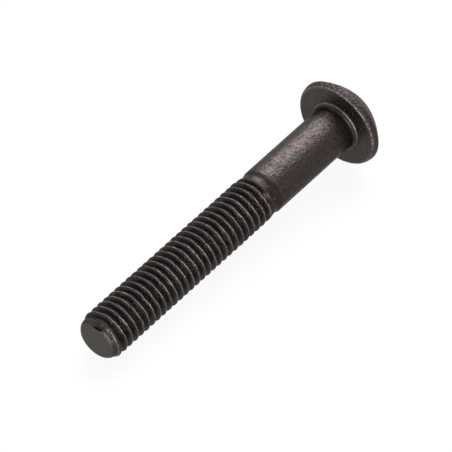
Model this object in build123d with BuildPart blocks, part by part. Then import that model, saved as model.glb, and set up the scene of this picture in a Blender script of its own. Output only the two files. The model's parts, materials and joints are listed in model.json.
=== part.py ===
from build123d import *
from math import asin, atan, cos, degrees, radians, sin, sqrt, tan
import os

# Button head socket screw, ISO 7380-1 type, M5 x 35, part-threaded, steel.
# Cold-headed and thread-rolled in one piece, so it is one solid.
# Millimetres, +Z up.  The screw is drawn upright first, head up, with the centre
# of its bearing face at the origin.  It is then laid on its side, point toward -X,
# resting on the head's rim and on the first full turn of the thread.

# ---- driving dimensions ----------------------------------------------------------
# shaft, measured down from the bearing face
length = 35.25              # to the end of the point
thread_d = 4.84             # over the rolled crests
shank_d = 4.75
shank_end = 11.15           # plain shank stops here
blank_d = 4.48              # rolled blank, where it leaves the shank
neck_cone = 0.35            # height of the cone from the shank to the blank
full_thread = 12.60         # crests have their full height from here on
point_blank_d = 4.34        # blank at the point, ahead of the first crest
point_round = 0.64          # rounded end of the blank
point_lead = 0.35           # height of the cone from the rounded end to the crests

# thread: one right-hand groove, M5 x 0.8
pitch = 0.8
flank_angle = 60.0
groove_depth = 0.29         # shallow at the bottom; the rest of the depth is left to the looks
groove_lead = 0.288         # from the screw's end to where the groove's bottom begins
full_run = 4                # turns cut at a time, after a first turn that only grazes the point
runout_turns = 1            # the groove climbs out of the shaft over these turns
runout_climb = 0.17

# head
head_d = 9.32
head_h = 2.75
face_d = 8.94               # bearing face, out to its edge
rim_rise = 0.72             # from the bearing face to the widest ring
dome_bulge = 0.13           # rise of the dome's side over its chord
crown_d = 4.60              # flat ring around the socket
collar_step = 0.375         # raised ring where the shank meets the head, beyond the shank
collar_h = 0.17
root_fillet = 0.30

# socket for a 3 mm hexagon key
key_af = 3.0
key_depth = 1.70            # straight flats
key_drill = 120.0           # cone of the drill at the bottom
key_chamfer = 0.15          # lead-in around the mouth

rest_roll = -1.55           # degrees, how far the screw is turned about its own axis where it lies

# ---- derived sizes ---------------------------------------------------------------
thread_r = thread_d / 2
shank_r = shank_d / 2
blank_r = blank_d / 2
point_r = point_blank_d / 2
head_r = head_d / 2
face_r = face_d / 2
crown_r = crown_d / 2
collar_r = shank_r + collar_step
key_corner_r = key_af / sqrt(3)
root_r = thread_r - groove_depth
tool_r = thread_r + 0.25    # the cutter stands clear of the crests
tool_half = (tool_r - root_r) * tan(radians(flank_angle / 2))
groove_start = length - groove_lead
full_turns = round((groove_start - full_thread) / pitch)
runs = [1] + [full_run] * ((full_turns - 1) // full_run)
if (full_turns - 1) % full_run:
    runs.append((full_turns - 1) % full_run)
runout_start = groove_start - full_turns * pitch
runout_angle = degrees(atan(runout_climb / (runout_turns * pitch)))

# The rim is an arc, upright at the widest ring and cutting the bearing face in an edge.
# It, the dome and the root fillet are drawn in straight runs that end on the arc.
rim_edge = head_r - face_r
rim_arc_r = (rim_rise**2 + rim_edge**2) / (2 * rim_edge)
half_turn = asin(rim_rise / rim_arc_r) / 2
rim_middle = (head_r - rim_arc_r * (1 - cos(half_turn)), rim_rise - rim_arc_r * sin(half_turn))
fillet_step = root_fillet * (1 - cos(radians(45)))

# At rest the axis dips toward the point.
rest_reach = rim_rise + length - point_round - point_lead
rest_angle = atan((head_r - thread_r) / rest_reach)

# ---- the screw, upright ----------------------------------------------------------
with BuildPart() as upright:
    with BuildSketch(Plane.XZ) as half_section:
        with BuildLine():
            # dome and rim
            Polyline((0, -length), (0, head_h), (crown_r, head_h))
            dome = SagittaArc(
                (crown_r, head_h), (head_r, rim_rise), dome_bulge, mode=Mode.PRIVATE
            )
            Polyline(dome @ 0, dome @ 0.25, dome @ 0.5, dome @ 0.75, dome @ 1)
            Polyline((head_r, rim_rise), rim_middle, (face_r, 0))
            # bearing face, collar and root fillet
            Polyline(
                (face_r, 0),
                (collar_r, 0),
                (collar_r, -collar_h),
                (shank_r + root_fillet, -collar_h),
                (shank_r + fillet_step, -collar_h - fillet_step),
                (shank_r, -collar_h - root_fillet),
                (shank_r, -shank_end),
            )
            # neck, thread and rounded point
            Polyline(
                (shank_r, -shank_end),
                (blank_r, -shank_end - neck_cone),
                (thread_r, -full_thread),
                (thread_r, point_lead + point_round - length),
                (point_r, point_round - length),
                (point_r - point_round * (1 - cos(radians(30))), point_round / 2 - length),
                (point_r - point_round / 2, point_round * (1 - cos(radians(30))) - length),
                (point_r - point_round, -length),
                (0, -length),
            )
        make_face()
    revolve(axis=Axis.Z)

    # hexagon socket: broached flats, drilled bottom, countersunk mouth
    with BuildSketch(Plane.XY.offset(head_h)):
        RegularPolygon(radius=key_af / 2, side_count=6, major_radius=False)
    extrude(amount=-key_depth, mode=Mode.SUBTRACT)
    with BuildSketch(Plane.XZ):
        with BuildLine():
            drill_tip = head_h - key_depth - key_af / 2 / tan(radians(key_drill / 2))
            Polyline(
                (0, drill_tip),
                (key_af / 2, head_h - key_depth),
                (0, head_h - key_depth),
                close=True,
            )
        make_face()
        with BuildLine():
            Polyline(
                (0, head_h),
                (key_corner_r + key_chamfer, head_h),
                (0, head_h - key_corner_r - key_chamfer),
                close=True,
            )
        make_face()
    revolve(axis=Axis.Z, mode=Mode.SUBTRACT)

# ---- thread ----------------------------------------------------------------------
run_start = groove_start
for run_turns in runs:
    with BuildPart() as groove:
        with BuildLine() as groove_path:
            Helix(pitch=pitch, height=run_turns * pitch, radius=root_r, center=(0, 0, -run_start))
        with BuildSketch(Plane.XZ):
            with BuildLine():
                Polyline(
                    (root_r, -run_start),
                    (tool_r, tool_half - run_start),
                    (tool_r, -tool_half - run_start),
                    close=True,
                )
            make_face()
        sweep(path=groove_path.line, is_frenet=True)
    with upright:
        add(groove.part, mode=Mode.SUBTRACT, clean=False)
    run_start = run_start - run_turns * pitch

with BuildPart() as runout:
    with BuildLine() as runout_path:
        Helix(
            pitch=pitch,
            height=runout_turns * pitch,
            radius=root_r,
            center=(0, 0, -runout_start),
            cone_angle=runout_angle,
        )
    with BuildSketch(Plane.XZ):
        with BuildLine():
            Polyline(
                (root_r, -runout_start),
                (tool_r, tool_half - runout_start),
                (tool_r, -tool_half - runout_start),
                close=True,
            )
        make_face()
    sweep(path=runout_path.line, is_frenet=True)
with upright:
    add(runout.part, mode=Mode.SUBTRACT, clean=False)

# ---- laid at rest ----------------------------------------------------------------
roll = radians(rest_roll)
rest_plane = Plane(
    origin=(0, 0, 0),
    x_dir=(-sin(rest_angle) * cos(roll), -sin(roll), cos(rest_angle) * cos(roll)),
    z_dir=(cos(rest_angle), 0, sin(rest_angle)),
)
with BuildPart(rest_plane) as button_screw:
    add(upright.part)

button_screw.part.label = "button_screw"
os.makedirs("parts", exist_ok=True)
export_step(button_screw.part, "parts/button_screw.step")
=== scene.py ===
"""Looks of a button head socket screw, M5 x 35, black oxide on rolled and headed alloy steel.

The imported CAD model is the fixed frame.  The screw's skin is one closed surface worked out
around its axis, with the rolled thread at its true depth, and it stands for the CAD node.
"""

import json
import math

import bpy
import numpy as np
from bpy.props import FloatProperty, FloatVectorProperty, PointerProperty
from bpy.types import Operator, Panel, PropertyGroup
from mathutils import Matrix, Vector


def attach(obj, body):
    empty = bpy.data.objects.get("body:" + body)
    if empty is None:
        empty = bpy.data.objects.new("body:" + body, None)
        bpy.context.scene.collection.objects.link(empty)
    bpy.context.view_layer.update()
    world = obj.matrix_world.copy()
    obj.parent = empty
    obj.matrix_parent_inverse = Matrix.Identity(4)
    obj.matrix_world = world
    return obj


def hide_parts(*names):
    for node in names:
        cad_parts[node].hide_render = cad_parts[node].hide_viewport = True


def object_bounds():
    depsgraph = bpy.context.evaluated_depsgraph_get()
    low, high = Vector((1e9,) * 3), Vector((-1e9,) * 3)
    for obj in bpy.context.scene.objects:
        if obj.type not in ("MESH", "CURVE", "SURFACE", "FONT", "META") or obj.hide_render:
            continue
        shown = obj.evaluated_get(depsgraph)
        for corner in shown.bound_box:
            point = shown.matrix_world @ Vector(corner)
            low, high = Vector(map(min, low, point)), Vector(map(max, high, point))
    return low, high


bl_info = {
    "name": "Button Head Socket Screw",
    "version": (1, 0, 0),
    "blender": (4, 5, 0),
    "location": "View3D > Sidebar > Screw",
    "description": "Builds the skin, the finish and the studio of a button head socket screw",
    "category": "Object",
}

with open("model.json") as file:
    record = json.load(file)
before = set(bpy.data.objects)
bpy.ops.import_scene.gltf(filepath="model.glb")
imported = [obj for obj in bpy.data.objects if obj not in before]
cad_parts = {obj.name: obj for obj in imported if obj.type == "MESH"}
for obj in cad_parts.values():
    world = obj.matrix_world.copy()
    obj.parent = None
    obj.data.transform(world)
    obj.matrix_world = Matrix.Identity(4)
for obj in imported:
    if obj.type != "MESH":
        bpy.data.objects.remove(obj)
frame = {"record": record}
CAD_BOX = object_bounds()
MOUNTS = {m["name"]: m for m in frame["record"]["mounts"]}
NODE = "button_screw"
BODY = "root"


def linear(hex_colour):
    """An sRGB hex colour as linear red, green, blue and alpha."""
    parts = [int(hex_colour.lstrip("#")[i : i + 2], 16) / 255 for i in (0, 2, 4)]
    return [c / 12.92 if c <= 0.04045 else ((c + 0.055) / 1.055) ** 2.4 for c in parts] + [1.0]


def length_prop(name, description, mm, low=0.0):
    """A length that a user may change, given in millimetres and kept in metres."""
    return FloatProperty(
        name=name, description=description, default=mm / 1000, min=low, precision=5, unit="LENGTH"
    )


def colour_prop(name, description, hex_colour):
    """A surface colour that a user may change."""
    return FloatVectorProperty(
        name=name,
        description=description,
        default=linear(hex_colour)[:3],
        size=3,
        min=0.0,
        max=1.0,
        subtype="COLOR",
    )


# ---------------------------------------------------------------------------------
# sizes and colours a user would change
# ---------------------------------------------------------------------------------
class ScrewThreadSizes(PropertyGroup):
    """The rolled thread and the point."""

    pitch: length_prop("Pitch", "Distance from one crest to the next", 0.8, 0.0001)
    crest_diameter: length_prop("Crest diameter", "Across the tops of the thread", 4.84)
    root_diameter: length_prop("Root diameter", "Across the bottom of the groove", 3.94)
    root_flat: length_prop("Root flat", "Width of the groove's bottom", 0.19)
    flank_angle: FloatProperty(
        name="Flank angle",
        description="Angle between the two sides of the groove",
        default=math.radians(60),
        min=0.1,
        max=2.0,
        subtype="ANGLE",
    )
    corner: length_prop("Corner rounding", "How far the rolls round the crest and the root", 0.10)
    clock: length_prop("Crest clock", "Distance of a crest above the axis below the head", 0.159)


class ScrewHeadSizes(PropertyGroup):
    """The head and its socket."""

    crown_diameter: length_prop("Crown diameter", "Flat ring around the socket", 4.60)
    dome_bulge: length_prop("Dome bulge", "Rise of the dome's side over its chord", 0.13)
    socket_depth: length_prop("Socket depth", "Depth of the socket's flats", 1.70)
    across_flats: length_prop("Across flats", "Width of the hexagon key", 3.0)


class ScrewFinish(PropertyGroup):
    """Colours of the finish."""

    sheared_end: colour_prop("Sheared end", "Flat of the point", "#4e4a47")
    warm_oxide: colour_prop("Warm oxide", "Redder part of the black oxide", "#433936")
    cool_oxide: colour_prop("Cool oxide", "Greyer part of the black oxide", "#3e3938")
    # painted shade: the groove colour stands partly for the oxide's own darker, cooler tone and
    # partly for shade in the grooves
    groove_oxide_and_shade: colour_prop("Groove oxide", "Thick oxide in the grooves", "#1a1c1e")
    # painted highlight: this colour stands partly for steel showing through and partly for the
    # highlight on crests and edges
    worn_crest_and_highlight: colour_prop("Worn crest", "Steel showing through on edges", "#827e7a")
    # painted shade: this colour is the oxide's own in pits and grain, and also darkens the neck and
    # the shank under the head as shade
    scale_and_painted_shade: colour_prop("Deep scale", "Oxide in pits and in the grain", "#221c1a")


class ScrewStage(PropertyGroup):
    """Floor, light and camera."""

    camera_azimuth: FloatProperty(
        name="Camera azimuth",
        description="Bearing of the camera, counted from +X",
        default=math.radians(-140.165),
        subtype="ANGLE",
    )
    camera_elevation: FloatProperty(
        name="Camera elevation",
        description="Height of the camera over the floor",
        default=math.radians(43.559),
        subtype="ANGLE",
    )
    lens: FloatProperty(
        name="Lens",
        description="Focal length on a 36 mm sensor",
        default=338.78,
        min=1.0,
        unit="CAMERA",
    )
    floor_size: length_prop("Floor size", "Side of the square floor", 2400.0)


# ---------------------------------------------------------------------------------
# geometry
# ---------------------------------------------------------------------------------
# way of the point and its dip under the horizontal
TIP_WAY = Vector(MOUNTS["bearing_face"]["axis"]).normalized()
DIP = math.atan2(-TIP_WAY.z, -TIP_WAY.x)
# points in each ring, and the roll in which the screw lies at rest
COLUMNS = 120
ROLL = math.radians(-1.55)

# sizes that the CAD model fixes, in millimetres; heights count from the bearing face
LENGTH = 35.25
POINT_R, POINT_ROUND = 2.17, 0.64
THREAD_LEAD = 0.35
NECK_R, NECK_TOP, SHANK_START = 2.24, -11.50, -11.15
COLLAR_STEP, COLLAR_H, ROOT_FILLET = 0.375, 0.17, 0.30
EDGE_R, RIM_R, RIM_RISE, HEAD_H = 4.47, 4.66, 0.72, 2.75
# height over the point at which the first turn is folded, and where the fold ends
FOLD_EDGE, FOLD_END = 0.60, 1.05
# the groove runs out over these heights of its own helix, up to beyond the shaft
RUNOUT_LOW, RUNOUT_HIGH, CLEAR_R = -12.47, -12.18, 2.60


def soft_min(a, b, width):
    """The smaller of a and b, with the corner between them rounded over width."""
    gap = np.clip(width - np.abs(a - b), 0, None)
    return np.minimum(a, b) - gap**2 / (4 * width)


def soft_max(a, b, width):
    """The larger of a and b, with the corner between them rounded over width."""
    return -soft_min(-a, -b, width)


def ease(x, start, end):
    """0 before start, 1 after end and a smooth rise between them."""
    t = np.clip((x - start) / (end - start), 0, 1)
    return t * t * (3 - 2 * t)


def ripple(angle, height, seed, waves=6, reach=5):
    """A smooth, even wander between about -1 and 1: a sum of sines with whole waves round the
    axis and any wavelength along it."""
    rng = np.random.default_rng(seed)
    total = np.zeros(np.broadcast(angle, height).shape)
    for _ in range(waves):
        around = rng.integers(1, reach + 1)
        along = rng.uniform(-1.0, 1.0) * reach / 2.4
        total = total + np.sin(around * angle + along * height + rng.uniform(0, 2 * math.pi))
    return total / math.sqrt(2 * waves)


def shaft_radius(angle, height, thread_r, shank_r):
    """Radius of the shaft over the crests: rounded end, lead, crests, fading crests, neck cone
    and shank, from straight runs joined along the height.  On one side of the end the first
    turn is folded over the point, as a second, steeper cone."""
    knots = np.array(
        [
            [-LENGTH + POINT_ROUND, POINT_R],
            [-LENGTH + POINT_ROUND + THREAD_LEAD, thread_r],
            [-12.90, thread_r],
            [-12.30, 2.34],
            [-12.00, 2.26],
            [NECK_TOP, NECK_R],
            [SHANK_START, shank_r],
        ]
    )
    run = np.interp(height, knots[:, 0], knots[:, 1])
    down = np.clip(knots[0, 0] - height, 0, POINT_ROUND)
    rounded = POINT_R - POINT_ROUND + np.sqrt(POINT_ROUND**2 - down**2)
    plain = np.where(height < knots[0, 0], rounded, run)
    cone = [1.50, 2.36, thread_r, 0.0]
    folded = np.interp(height + LENGTH, [0.0, FOLD_EDGE, 0.99, FOLD_END], cone)
    return plain + folded_side(angle) * np.clip(folded - plain, 0, None)


def folded_side(angle):
    """1 on the side of the point where the first turn is folded over, 0 on the others."""
    turn = np.degrees(angle) % 360
    return ease(turn, 28, 42) * (1 - ease(turn, 100, 135))


def threaded_radius(angle, height, sizes, shank_r):
    """Radius, paler marks and depth of the threaded shaft at an angle and height.

    The radius is the smaller of the shaft over the crests and the groove, whose bottom is flat
    and whose sides rise at half the flank angle.  The paler marks, partly worn steel and partly
    painted highlight, are 1 on the crests and along the fold, depth is 1 in the bottom of the
    groove, and both are 0 elsewhere."""
    pitch, clock = sizes.pitch * 1000, sizes.clock * 1000
    root_r, width = sizes.root_diameter * 500, sizes.corner * 1000
    turn = (height + clock + pitch / 2) / pitch - angle / (2 * math.pi)
    nearest = np.round(turn)
    off = np.abs(turn - nearest) * pitch
    # height of the groove's middle, by which it knows its turns
    middle = (nearest + angle / (2 * math.pi)) * pitch - clock - pitch / 2
    run_out = ease(middle, RUNOUT_LOW, RUNOUT_HIGH)
    # the first turn is rolled shut over a quarter turn beside the fold
    from_point = middle + LENGTH
    shut = ease(from_point, 0.345, 0.37) * (1 - ease(from_point, 0.56, 0.62))
    bottom = root_r + (CLEAR_R - root_r) * (run_out + shut)
    side = bottom + (off - sizes.root_flat * 500) / math.tan(sizes.flank_angle / 2)
    groove = soft_max(bottom, side, width)
    shaft = shaft_radius(angle, height, sizes.crest_diameter * 500, shank_r)
    inner = soft_min(groove, pocket_radius(angle, height, pitch), width)
    radius = soft_min(shaft, inner, width)

    # paler marks, partly worn steel and partly painted highlight, lie on the corners of the crests,
    # and fade toward the run-out and the point
    over = groove - shaft
    wear_and_highlight = ease(over, -0.03, 0.04) * (1 - ease(over, 0.10, 0.22))
    wear_and_highlight = wear_and_highlight * (1 - ease(height, -12.8, -12.4)) * ease(height + LENGTH, 0.85, 1.0)
    folded = folded_side(angle)
    wear_and_highlight = wear_and_highlight * (1 - folded * (height < -LENGTH + FOLD_END))
    fold = np.exp(-(((height + LENGTH - FOLD_EDGE) / 0.045) ** 2)) * folded
    return radius, np.maximum(wear_and_highlight, fold), ease(shaft - groove, 0.08, 0.42)


def pocket_radius(angle, height, pitch):
    """Radius of the hollow beside the fold, where the first turn starts: a V across the
    rounded end that climbs with the thread and runs out on both sides."""
    turn = (np.degrees(angle) + 180) % 360 - 180
    middle = -LENGTH + 0.26 + pitch * (turn - 9.4) / 360
    bottom = 1.47 + 1.0 * ease(turn, 17, 30) + 0.5 * ease(-turn, -4, 30)
    wall = math.tan(math.radians(30))
    return bottom + np.abs(height - middle) / wall


def arc_points(start, end, bulge, count):
    """Points on a circular arc from start to end whose middle stands out by bulge."""
    a, b = np.array(start), np.array(end)
    chord = b - a
    half = np.linalg.norm(chord) / 2
    radius = (half**2 + bulge**2) / (2 * bulge)
    out = np.array([chord[1], -chord[0]]) / (2 * half)
    centre = (a + b) / 2 - out * (radius - bulge)
    first = math.atan2(*(a - centre)[::-1])
    last = math.atan2(*(b - centre)[::-1])
    turn = np.linspace(first, last, count)
    return centre + radius * np.stack([np.cos(turn), np.sin(turn)], 1)


def fixed_rings(head, shank_r):
    """Radius and height of the rings below the thread and of those above it, up to the mouth of
    the socket."""
    below = [(r, -LENGTH) for r in (0.35, 0.7, 1.05, 1.35)]
    turn = np.array([0.0, 0.13, 0.26])
    corner_r = POINT_R - POINT_ROUND + POINT_ROUND * np.sin(turn)
    below += list(zip(corner_r, -LENGTH + POINT_ROUND * (1 - np.cos(turn))))

    # neck cone and shank
    above = [(shank_r - 0.015, SHANK_START - 0.02), (shank_r, SHANK_START + 0.03)]
    above += [(shank_r, h) for h in np.linspace(-10.6, -0.9, 20)]
    # root fillet, the collar's rounded corner and the bearing face
    turn = np.linspace(0, math.pi / 2, 7)
    fillet_r = shank_r + ROOT_FILLET * (1 - np.cos(turn))
    above += list(zip(fillet_r, -COLLAR_H - ROOT_FILLET * (1 - np.sin(turn))))
    collar = shank_r + COLLAR_STEP
    above += [(collar - 0.13, -COLLAR_H), (collar - 0.07, -0.155), (collar - 0.03, -0.11)]
    above += [(collar - 0.005, -0.05), (collar + 0.02, 0.0)]
    above += [(r, 0.0) for r in np.linspace(collar + 0.1, 4.34, 9)]
    # rounded edge, then the rim as an arc that is upright at the widest ring
    above += [(4.39, 0.008), (4.43, 0.028), (4.465, 0.065), (4.49, 0.12)]
    step = RIM_R - EDGE_R
    rim_arc = (RIM_RISE**2 + step**2) / (2 * step)
    rise = np.linspace(0.19, RIM_RISE, 8)
    above += list(zip(RIM_R - rim_arc + np.sqrt(rim_arc**2 - (RIM_RISE - rise) ** 2), rise))
    # dome and the flat ring round the socket
    crown = head.crown_diameter * 500
    dome = arc_points((RIM_R, RIM_RISE), (crown, HEAD_H), head.dome_bulge * 1000, 22)[1:]
    mouth = head.across_flats * 500 / math.cos(math.pi / 6) + 0.15
    flat = [(crown - 0.05, HEAD_H + 0.002), (crown - 0.25, HEAD_H), (mouth, HEAD_H)]
    return np.array(below), np.vstack([np.array(above), dome, flat]), mouth


def ring_points(pairs, angle):
    """Radius, angle and height of every point of rings given as radius and height."""
    pairs = np.asarray(pairs, float)
    shape = (len(pairs), len(angle))
    parts = [pairs[:, 0:1], angle[None, :], pairs[:, 1:2]]
    return np.stack([np.broadcast_to(part, shape) for part in parts], -1).reshape(-1, 3)


def climbing_rows(thread, angle, low, high):
    """Heights of the threaded rows at every column, and the number of rows in a turn.

    A row climbs one pitch a turn from its own start.  The starts stand close where the crest
    turns over, in mirrored halves of a pitch, from more than a turn below the low ring until
    the last row passes the high one all round."""
    pitch = thread.pitch * 1000
    half = [0, 0.05, 0.095, 0.13, 0.18, 0.24, 0.29, 0.325, 0.35, 0.375, 0.40]
    whole = 2 * half[-1]
    places = np.concatenate([half, whole - np.array(half[-2:0:-1])]) / whole
    turns = int((high - low) / pitch) + 5
    base = -thread.clock * 1000 - pitch / 2
    base = base - pitch * math.ceil((base - low) / pitch + 1)
    starts = base + pitch * (np.arange(turns)[:, None] + places[None, :]).reshape(-1)
    return starts[:, None] + pitch * (angle[None, :] / (2 * math.pi)), len(places)


def ring_quads(starts):
    """Faces from each ring to the next, for rings given by the number of their first point."""
    here = np.arange(COLUMNS)
    ahead = (here + 1) % COLUMNS
    pairs = zip(starts[:-1], starts[1:])
    return np.vstack([np.stack([a + here, a + ahead, b + ahead, b + here], 1) for a, b in pairs])


def climbing_quads(number, per_turn):
    """Faces from each climbing row to the next: past the last column a row goes on as the row
    that starts one turn higher."""
    span = len(number) - 1 - per_turn
    wrapped = np.concatenate([number[: span + 1, 1:], number[per_turn:, :1]], 1)
    corners = [number[:span], wrapped[:-1], wrapped[1:], number[1 : span + 1]]
    return np.stack(corners, -1).reshape(-1, 4)


def skin_arrays(thread, head):
    """Points and faces of the whole screw in millimetres, upright, head up.

    Rows run from the centre of the point up the shaft, over the head and down into the socket,
    and columns run round the axis.  In the threaded part the rows climb one pitch a turn, so
    that a row follows the crest, and each row is held between the two rings that close the
    part; points held on a ring are that ring's own points."""
    count = COLUMNS
    angle = ROLL + 2 * math.pi * np.arange(count) / count
    shank_r = MOUNTS["shank"]["dims"]["r_mm"]
    low, high = -LENGTH + 0.05, NECK_TOP + 0.04
    tip, up, mouth = fixed_rings(head, shank_r)

    height, per_turn = climbing_rows(thread, angle, low, high)
    held_low = height <= low + 1e-6
    held_high = height >= high - 1e-6
    height = np.clip(height, low, high)
    turn_angle = np.broadcast_to(angle, height.shape)
    radius, wear_and_highlight, depth = threaded_radius(turn_angle, height, thread, shank_r)

    # point numbers: centre, tip rings, low ring, free thread points, high ring and the rest
    first_low = 1 + len(tip) * count
    free = ~(held_low | held_high)
    number = np.cumsum(free.reshape(-1)).reshape(free.shape) - 1 + first_low + count
    first_high = first_low + count + int(free.sum())
    column = np.broadcast_to(np.arange(count), free.shape)
    number = np.where(held_low, first_low + column, number)
    number = np.where(held_high, first_high + column, number)

    def shaft_ring(at):
        ring = ring_points([(0.0, at)], angle)
        ring[:, 0] = threaded_radius(angle, ring[:, 2], thread, shank_r)[0]
        return ring

    # socket: chamfered mouth, six flats, and the drill's cone below them
    flat = head.across_flats * 500
    hex_r = flat / np.cos((angle - ROLL + math.pi / 6) % (math.pi / 3) - math.pi / 6)
    floor_h = HEAD_H - head.socket_depth * 1000
    drill_slope = math.tan(math.radians(60))
    drill = [(r * 0.999, floor_h - (flat - r) / drill_slope) for r in (flat, 1.2, 0.8, 0.4)]
    polar = np.vstack(
        [
            [[0, 0, -LENGTH]],
            ring_points(tip, angle),
            shaft_ring(low),
            np.stack([radius, turn_angle, height], -1)[free],
            shaft_ring(high),
            ring_points(up, angle),
            np.stack([hex_r, angle, HEAD_H - (mouth - hex_r)], 1),
            np.stack([hex_r, angle, np.full(count, floor_h)], 1),
            ring_points(drill, angle),
            [[0, 0, floor_h - flat / drill_slope]],
        ]
    )

    # faces: rings to rings below and above, the climbing rows, and fans at the two centres
    here = np.arange(count)
    ahead = (here + 1) % count
    last_ring = len(polar) - 1 - count
    below = ring_quads(range(1, first_low + 1, count))
    above = ring_quads(range(first_high, last_ring + 1, count))
    quads = np.vstack([below, above, climbing_quads(number, per_turn)])
    # quads that a ring pinches become triangles or nothing
    keep = quads != np.roll(quads, -1, axis=1)
    sides = keep.sum(1)
    pinched = quads[sides == 3][keep[sides == 3]].reshape(-1, 3)
    quads = quads[sides == 4]
    fan_low = np.stack([np.zeros(count, int), 1 + ahead, 1 + here], 1)
    top = np.full(count, len(polar) - 1)
    fan_high = np.stack([last_ring + here, last_ring + ahead, top], 1)
    triangles = np.vstack([pinched, fan_low, fan_high])

    marks = np.zeros((len(polar), 2))
    marks[:, 0] = edge_wear_and_glint(polar, shank_r + COLLAR_STEP)
    marks[first_low + count : first_high] = np.stack([wear_and_highlight, depth], -1)[free]
    for place in RUBS_AND_HIGHLIGHTS:
        marks[:, 0] = np.maximum(marks[:, 0], RUB_AND_HIGHLIGHT_STRENGTH * spot(polar, *place))
    return polar, marks, quads, triangles


def edge_wear_and_glint(polar, collar):
    """Paler marks on the head's edges, partly worn steel and partly painted highlight and glints:
    1 on the collar's rounded corner and on the rim's, falling off as a bell over 0.1 mm."""
    r, h = polar[:, 0], polar[:, 2]
    on_collar = np.exp(-(((r - collar + 0.05) ** 2 + (h + 0.12) ** 2) / 0.09**2))
    on_rim = np.exp(-(((r - EDGE_R + 0.01) ** 2 + (h - 0.08) ** 2) / 0.11**2))
    return np.maximum(on_collar, on_rim)


# dents: height and angle of the middle, length along the axis and round it, and depth, all in
# millimetres but the angle, which is in degrees from the top toward -Y
DENTS = (
    (-15.89, 53.1, 0.14, 0.30, 0.09),
    (-15.04, 50.8, 0.14, 0.25, 0.07),
    (-33.30, 58.0, 0.16, 0.22, 0.05),
    (-10.22, 15.2, 0.12, 0.22, 0.05),
    (-1.88, 14.0, 0.10, 0.35, 0.05),
    (-11.35, 8.5, 0.22, 0.55, 0.05),
)


# paler spots, partly rubbed steel and partly painted highlight (the third is a light streak that
# stands in for the run-out's second thin crest): height and angle of the middle, and length along
# the axis and round it, as above; the strength makes their middles flat
RUB_AND_HIGHLIGHT_STRENGTH = 1.8
RUBS_AND_HIGHLIGHTS = (
    (-34.36, -5.0, 0.08, 0.42),
    (-34.66, 34.0, 0.15, 0.24),
    (-12.37, 47.0, 0.04, 0.40),
    (-11.80, 66.0, 0.08, 0.10),
)


def spot(polar, height, turn, length, width):
    """1 at a height and an angle, falling off as a bell over a length along the axis and a
    width round it."""
    r, a, h = polar[:, 0], polar[:, 1], polar[:, 2]
    gap = (a - math.radians(turn) + math.pi) % (2 * math.pi) - math.pi
    return np.exp(-2 * (((h - height) / length) ** 2 + (gap * r / width) ** 2))


def relief(polar):
    """Unevenness of a forged and rolled part, in millimetres: what is added to the radius and
    what is added to the height.  The crests wander by a few hundredths and have dents."""
    r, a, h = polar[:, 0], polar[:, 1], polar[:, 2]
    threaded = ease(-h, 11.6, 12.4) * ease(h, -35.1, -34.8)
    crest = ease(r, 2.15, 2.40) * threaded
    outward = 0.012 * ripple(a, h * 2.2, 11, 9, 9) * crest
    along = 0.028 * ripple(a, h * 1.5, 23, 12, 14) * threaded
    for height, turn, length, width, depth in DENTS:
        dent = depth * spot(polar, height, turn, length, width)
        outward = outward - dent * (r > 2.1) * (r < 2.9)
    lumps = ease(h, 0.05, 0.4) * ease(r, 2.5, 3.2)
    outward = outward + 0.010 * ripple(a * 3, h * 6, 31, 14, 9) * lumps
    return outward, along


def to_row_frame(polar):
    """Radius, angle and height round the axis as points in the row frame, in metres."""
    head_way = -np.array(TIP_WAY)
    above = np.array([-math.sin(DIP), 0.0, math.cos(DIP)])
    across = np.cross(head_way, above)
    r, a, h = polar[:, 0:1], polar[:, 1:2], polar[:, 2:3]
    return (h * head_way + r * (np.cos(a) * above + np.sin(a) * across)) / 1000


def mesh_from(name, points, marks, quads, triangles, sharp):
    """A mesh object of the given points, their paler marks (worn steel and painted highlight) and
    depth, and faces, smooth but for edges past the sharp angle."""
    mesh = bpy.data.meshes.new(name)
    loops = np.concatenate([quads.reshape(-1), triangles.reshape(-1)]).astype(np.int32)
    sizes = np.concatenate([np.full(len(quads), 4), np.full(len(triangles), 3)])
    starts = np.concatenate([[0], np.cumsum(sizes)[:-1]]).astype(np.int32)
    mesh.vertices.add(len(points))
    mesh.vertices.foreach_set("co", points.reshape(-1).astype(np.float32))
    mesh.loops.add(len(loops))
    mesh.loops.foreach_set("vertex_index", loops)
    mesh.polygons.add(len(sizes))
    mesh.polygons.foreach_set("loop_start", starts)
    mesh.polygons.foreach_set("use_smooth", np.ones(len(sizes), bool))
    mesh.update(calc_edges=True)
    mesh.validate()
    mesh.set_sharp_from_angle(angle=sharp)
    for column, mark in enumerate(("wear_and_highlight", "depth")):
        values = marks[:, column].astype(np.float32)
        mesh.attributes.new(mark, "FLOAT", "POINT").data.foreach_set("value", values)
    made = bpy.data.objects.new(name, mesh)
    bpy.context.scene.collection.objects.link(made)
    return made


# ---------------------------------------------------------------------------------
# materials
# ---------------------------------------------------------------------------------
def add(tree, kind, settings=None, links=None):
    """A node with its settings, and its inputs linked from sockets or set to values."""
    node = tree.nodes.new(kind)
    for key, value in (settings or {}).items():
        setattr(node, key, value)
    for key, value in (links or {}).items():
        if isinstance(value, bpy.types.NodeSocket):
            tree.links.new(value, node.inputs[key])
        else:
            node.inputs[key].default_value = value
    return node


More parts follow.
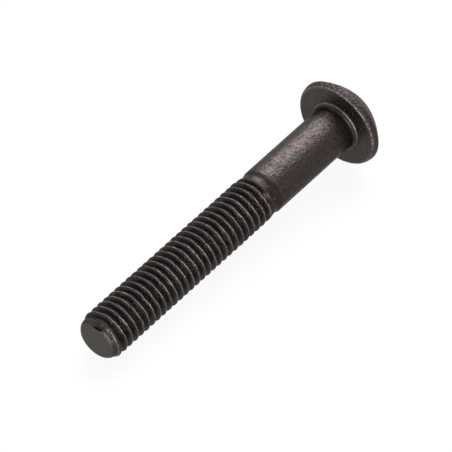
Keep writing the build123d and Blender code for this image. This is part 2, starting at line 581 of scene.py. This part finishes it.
def black_oxide_steel(finish):
    """Hardened alloy steel, headed and rolled, then blackened in a hot alkaline bath and oiled.

    The eye gets a satin brown-black with greyer and redder patches, paler crests and edges that
    are partly worn steel and partly painted highlight, grooves made nearly black partly with
    painted shade, painted shade on the neck and under the head, and a fine scale that breaks up the
    highlight."""
    material = bpy.data.materials.new("black_oxide_alloy_steel")
    material.use_nodes = True
    tree = material.node_tree
    tree.nodes.clear()
    place = add(tree, "ShaderNodeTexCoord").outputs["Object"]
    # millimetres, x along the axis toward the head
    axial = add(
        tree,
        "ShaderNodeMapping",
        {"vector_type": "POINT"},
        {"Vector": place, "Rotation": (0, DIP, 0), "Scale": (1000, 1000, 1000)},
    ).outputs[0]
    split = add(tree, "ShaderNodeSeparateXYZ", links={0: axial})
    height = split.outputs[0]
    across = add(tree, "ShaderNodeCombineXYZ", links={1: split.outputs[1], 2: split.outputs[2]})
    radius = add(tree, "ShaderNodeVectorMath", {"operation": "LENGTH"}, {0: across.outputs[0]})
    radius = radius.outputs["Value"]

    def span(value, low, high, to_low=0.0, to_high=1.0):
        node = add(tree, "ShaderNodeMapRange", {"interpolation_type": "SMOOTHSTEP"})
        tree.links.new(value, node.inputs[0])
        for index, number in zip((1, 2, 3, 4), (low, high, to_low, to_high)):
            node.inputs[index].default_value = number
        return node.outputs[0]

    def times(a, b):
        return add(tree, "ShaderNodeMath", {"operation": "MULTIPLY"}, {0: a, 1: b}).outputs[0]

    def mix(factor, a, b):
        node = add(tree, "ShaderNodeMix", {"data_type": "RGBA"}, {"Factor": factor, "A": a, "B": b})
        return node.outputs["Result"]

    def colour(value):
        return [*value, 1.0]

    def noise(scale, detail, roughness, vector=axial):
        return add(
            tree,
            "ShaderNodeTexNoise",
            links={"Vector": vector, "Scale": scale, "Detail": detail, "Roughness": roughness},
        ).outputs[0]

    # patches of the bath and of the oil, about 2 mm across
    patches = noise(0.45, 4.0, 0.6)
    # blotches of the scale, about 0.5 mm, and its grain, which is drawn coarser than it is, at
    # about 0.3 mm, so that it shows
    blotches = noise(1.9, 3.0, 0.6)
    grain = noise(3.4, 2.5, 0.6)
    # sparse pits, about 0.25 mm across
    pits = span(noise(3.9, 1.0, 0.5), 0.64, 0.72)
    on_head = times(span(height, -0.03, 0.06), span(radius, 1.85, 2.05))

    body = mix(span(patches, 0.38, 0.64), colour(finish.cool_oxide), colour(finish.warm_oxide))
    body = mix(span(blotches, 0.45, 0.75, 0.0, 0.35), body, colour(finish.scale_and_painted_shade))
    body = mix(span(grain, 0.42, 0.70, 0.0, 0.35), body, colour(finish.scale_and_painted_shade))
    body = mix(times(pits, 0.8), body, colour(finish.scale_and_painted_shade))
    # painted shade: the neck between the thread and the shank, and a ring just above it, are
    # darkened
    neck = times(span(height, -12.35, -12.00), span(height, -10.85, -11.05))
    body = mix(times(neck, 0.50), body, colour(finish.scale_and_painted_shade))
    # painted shade on the shank close under the head
    corner = times(span(height, -2.40, -1.50), span(height, -0.15, -0.30))
    body = mix(times(corner, 0.50), body, colour(finish.scale_and_painted_shade))
    # painted shade: groove bottoms are darkened, partly the oxide's own darker tone and partly
    # shade in the grooves
    depth = add(tree, "ShaderNodeAttribute", {"attribute_name": "depth"}).outputs["Fac"]
    body = mix(times(depth, 0.80), body, colour(finish.groove_oxide_and_shade))
    wear_and_highlight = add(tree, "ShaderNodeAttribute", {"attribute_name": "wear_and_highlight"}).outputs["Fac"]
    body = mix(times(span(height, -34.95, -35.15), 0.9), body, colour(finish.sheared_end))
    # the bearing face is pressed flat by the heading die and is a little paler
    seat = times(span(radius, 2.80, 2.95), span(height, 0.04, 0.01))
    body = mix(times(seat, 0.40), body, colour(finish.sheared_end))
    # painted highlight: crests, fold, head edges and spots are paled, partly worn steel and partly
    # highlight and glints
    rubbed_and_highlight = times(wear_and_highlight, span(patches, 0.30, 0.60, 0.5, 1.0))
    rubbed_and_highlight = times(rubbed_and_highlight, span(grain, 0.40, 0.56, 0.30, 1.0))
    body = mix(times(rubbed_and_highlight, 0.90), body, colour(finish.worn_crest_and_highlight))
    rough = span(blotches, 0.30, 0.75, 0.34, 0.50)

    # the forged head keeps a coarser scale than the drawn shank
    relief_height = add(
        tree,
        "ShaderNodeMath",
        {"operation": "SUBTRACT"},
        {0: times(grain, span(on_head, 0.0, 1.0, 1.0, 2.6)), 1: times(pits, 0.5)},
    ).outputs[0]
    bump = add(
        tree,
        "ShaderNodeBump",
        links={"Strength": 1.0, "Distance": 0.00007, "Height": relief_height},
    ).outputs[0]
    shader = add(
        tree,
        "ShaderNodeBsdfPrincipled",
        links={
            "Base Color": body,
            "Metallic": 1.0,
            "Roughness": rough,
            "Specular Tint": linear("#d6d6d6"),
            "Normal": bump,
        },
    )
    add(tree, "ShaderNodeOutputMaterial", links={0: shader.outputs[0]})
    return material


def white_for_the_eye(tree):
    """1 for what the camera, a reflection or a refraction sees, 0 for light that falls on
    things."""
    path = add(tree, "ShaderNodeLightPath")
    seen = add(
        tree,
        "ShaderNodeMath",
        {"operation": "MAXIMUM"},
        {0: path.outputs["Is Camera Ray"], 1: path.outputs["Is Glossy Ray"]},
    )
    seen = add(
        tree,
        "ShaderNodeMath",
        {"operation": "MAXIMUM"},
        {0: seen.outputs[0], 1: path.outputs["Is Transmission Ray"]},
    )
    return seen.outputs[0]


def plain_paper():
    """Matt white paper, which the eye sees as pure white with a pale, soft shadow."""
    material = bpy.data.materials.new("matt_white_paper")
    material.use_nodes = True
    tree = material.node_tree
    tree.nodes.clear()
    paper = add(tree, "ShaderNodeBsdfDiffuse", links={"Color": linear("#f7f7f7")})
    glow = add(tree, "ShaderNodeEmission", links={"Color": linear("#ffffff"), "Strength": 1.0})
    # the rest is the lit paper, which keeps the shadow
    share = add(
        tree,
        "ShaderNodeMath",
        {"operation": "MULTIPLY"},
        {0: white_for_the_eye(tree), 1: 0.92},
    )
    both = add(
        tree,
        "ShaderNodeMixShader",
        links={0: share.outputs[0], 1: paper.outputs[0], 2: glow.outputs[0]},
    )
    add(tree, "ShaderNodeOutputMaterial", links={0: both.outputs[0]})
    return material


# ---------------------------------------------------------------------------------
# operators
# ---------------------------------------------------------------------------------
CAMERA_PLACE = (-0.239031, -0.185674, 0.274365)


class SCREW_OT_skin(Operator):
    """Build the screw's skin and give it its finish."""

    bl_idname = "screw.skin"
    bl_label = "Screw"

    def execute(self, context):
        scene = context.scene
        polar, marks, quads, triangles = skin_arrays(scene.screw_thread, scene.screw_head)
        outward, along = relief(polar)
        polar[:, 0] += outward
        polar[:, 2] += along
        points = to_row_frame(polar)
        skin = mesh_from("screw_skin", points, marks, quads, triangles, math.radians(38))
        skin.data.materials.append(black_oxide_steel(scene.screw_finish))
        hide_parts(NODE)
        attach(skin, BODY)
        return {"FINISHED"}


def soft_light(name, place, aim, size, power, colour):
    """A rectangular light at place that faces aim, in metres and watts."""
    light = bpy.data.lights.new(name, "AREA")
    light.shape = "RECTANGLE"
    light.size, light.size_y = size
    light.energy = power
    light.color = linear(colour)[:3]
    made = bpy.data.objects.new(name, light)
    made.location = place
    made.rotation_euler = (Vector(place) - Vector(aim)).to_track_quat("Z", "Y").to_euler()
    bpy.context.scene.collection.objects.link(made)
    return made


class SCREW_OT_stage(Operator):
    """Set up the floor, the lights and the camera."""

    bl_idname = "screw.stage"
    bl_label = "Studio"

    def execute(self, context):
        scene = context.scene
        stage = scene.screw_stage
        low = CAD_BOX[0].z
        side = stage.floor_size / 2
        mesh = bpy.data.meshes.new("floor")
        mesh.from_pydata(
            [(-side, -side, low), (side, -side, low), (side, side, low), (-side, side, low)],
            [],
            [(0, 1, 2, 3)],
        )
        mesh.materials.append(plain_paper())
        floor = bpy.data.objects.new("floor", mesh)
        scene.collection.objects.link(floor)

        world = bpy.data.worlds.new("studio")
        world.use_nodes = True
        tree = world.node_tree
        tree.nodes.clear()
        # dim for what falls on things, pure white for the eye
        white = linear("#ffffff")
        tent = add(tree, "ShaderNodeBackground", links={"Color": white, "Strength": 0.35})
        backdrop = add(tree, "ShaderNodeBackground", links={"Color": white, "Strength": 1.0})
        both = add(
            tree,
            "ShaderNodeMixShader",
            links={0: white_for_the_eye(tree), 1: tent.outputs[0], 2: backdrop.outputs[0]},
        )
        add(tree, "ShaderNodeOutputWorld", links={0: both.outputs[0]})
        scene.world = world

        # a large light behind the screw draws the long highlight, a small one low in front of it
        # catches the crests, the collar and the rim
        aim = (-0.016, 0.0, 0.0)
        soft_light("back_light", (0.345, 0.175, 0.45), aim, (0.60, 0.42), 7.6, "#f1f8ff")
        soft_light("front_light", (-0.50, -0.33, 0.10), aim, (0.30, 0.16), 2.7, "#fffbf9")

        azimuth, elevation = stage.camera_azimuth, stage.camera_elevation
        back = Vector(
            (
                math.cos(elevation) * math.cos(azimuth),
                math.cos(elevation) * math.sin(azimuth),
                math.sin(elevation),
            )
        )
        right = Vector((-math.sin(azimuth), math.cos(azimuth), 0.0))
        above = back.cross(right)
        turn = Matrix((right, above, back)).transposed()
        lens = bpy.data.cameras.new("camera")
        lens.lens = stage.lens
        lens.sensor_width = 36.0
        lens.clip_start, lens.clip_end = 0.01, 10.0
        camera = bpy.data.objects.new("camera", lens)
        camera.matrix_world = Matrix.Translation(CAMERA_PLACE) @ turn.to_4x4()
        scene.collection.objects.link(camera)
        scene.camera = camera
        scene.view_settings.view_transform = "Standard"
        return {"FINISHED"}


class SCREW_PT_panel(Panel):
    """Sizes, finish and stage of the screw"""

    bl_label = "Button Head Screw"
    bl_idname = "SCREW_PT_panel"
    bl_space_type = "VIEW_3D"
    bl_region_type = "UI"
    bl_category = "Screw"

    def draw(self, context):
        scene = context.scene
        for title, group in (
            ("Thread", scene.screw_thread),
            ("Head", scene.screw_head),
            ("Finish", scene.screw_finish),
            ("Studio", scene.screw_stage),
        ):
            box = self.layout.box()
            box.label(text=title)
            for key in group.__annotations__:
                box.prop(group, key)
        self.layout.operator("screw.skin")
        self.layout.operator("screw.stage")


CLASSES = (
    ScrewThreadSizes,
    ScrewHeadSizes,
    ScrewFinish,
    ScrewStage,
    SCREW_OT_skin,
    SCREW_OT_stage,
    SCREW_PT_panel,
)


def register():
    for cls in CLASSES:
        bpy.utils.register_class(cls)
    bpy.types.Scene.screw_thread = PointerProperty(type=ScrewThreadSizes)
    bpy.types.Scene.screw_head = PointerProperty(type=ScrewHeadSizes)
    bpy.types.Scene.screw_finish = PointerProperty(type=ScrewFinish)
    bpy.types.Scene.screw_stage = PointerProperty(type=ScrewStage)


def unregister():
    del bpy.types.Scene.screw_stage
    del bpy.types.Scene.screw_finish
    del bpy.types.Scene.screw_head
    del bpy.types.Scene.screw_thread
    for cls in reversed(CLASSES):
        bpy.utils.unregister_class(cls)


def main():
    register()
    bpy.ops.screw.skin()
    bpy.ops.screw.stage()


if __name__ == "__main__":
    main()
